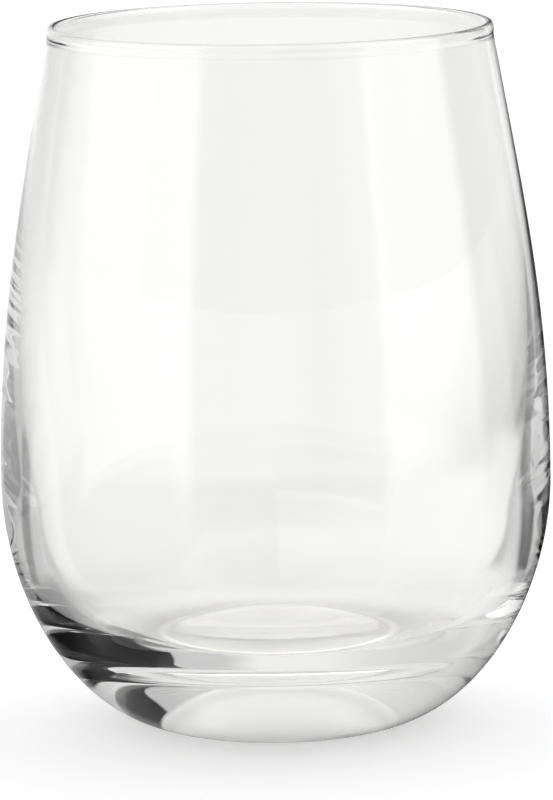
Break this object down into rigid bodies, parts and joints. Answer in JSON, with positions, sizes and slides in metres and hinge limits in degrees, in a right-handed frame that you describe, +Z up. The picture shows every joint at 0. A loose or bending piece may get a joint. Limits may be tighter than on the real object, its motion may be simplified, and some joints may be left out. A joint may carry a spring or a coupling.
{
  "type": "stemless wine glass",
  "caption": "Clear stemless wine glass to drink from: a round bowl, widest low down, leans in to a beaded rim and thickens to a heavy base on a flat foot ring.",
  "frame": {"origin": "middle of the base, level with the foot ring that stands on the table", "axes": "+Z up along the axis that the glass is turned round, from the base to the mouth; X and Y are alike"},
  "size_m": [0.093, 0.093, 0.1185],
  "materials": {
    "clear_glass": "polished clear soda-lime glass"
  },
  "bodies": {
    "root": {"glass": "clear_glass"}
  },
  "joints": []
}
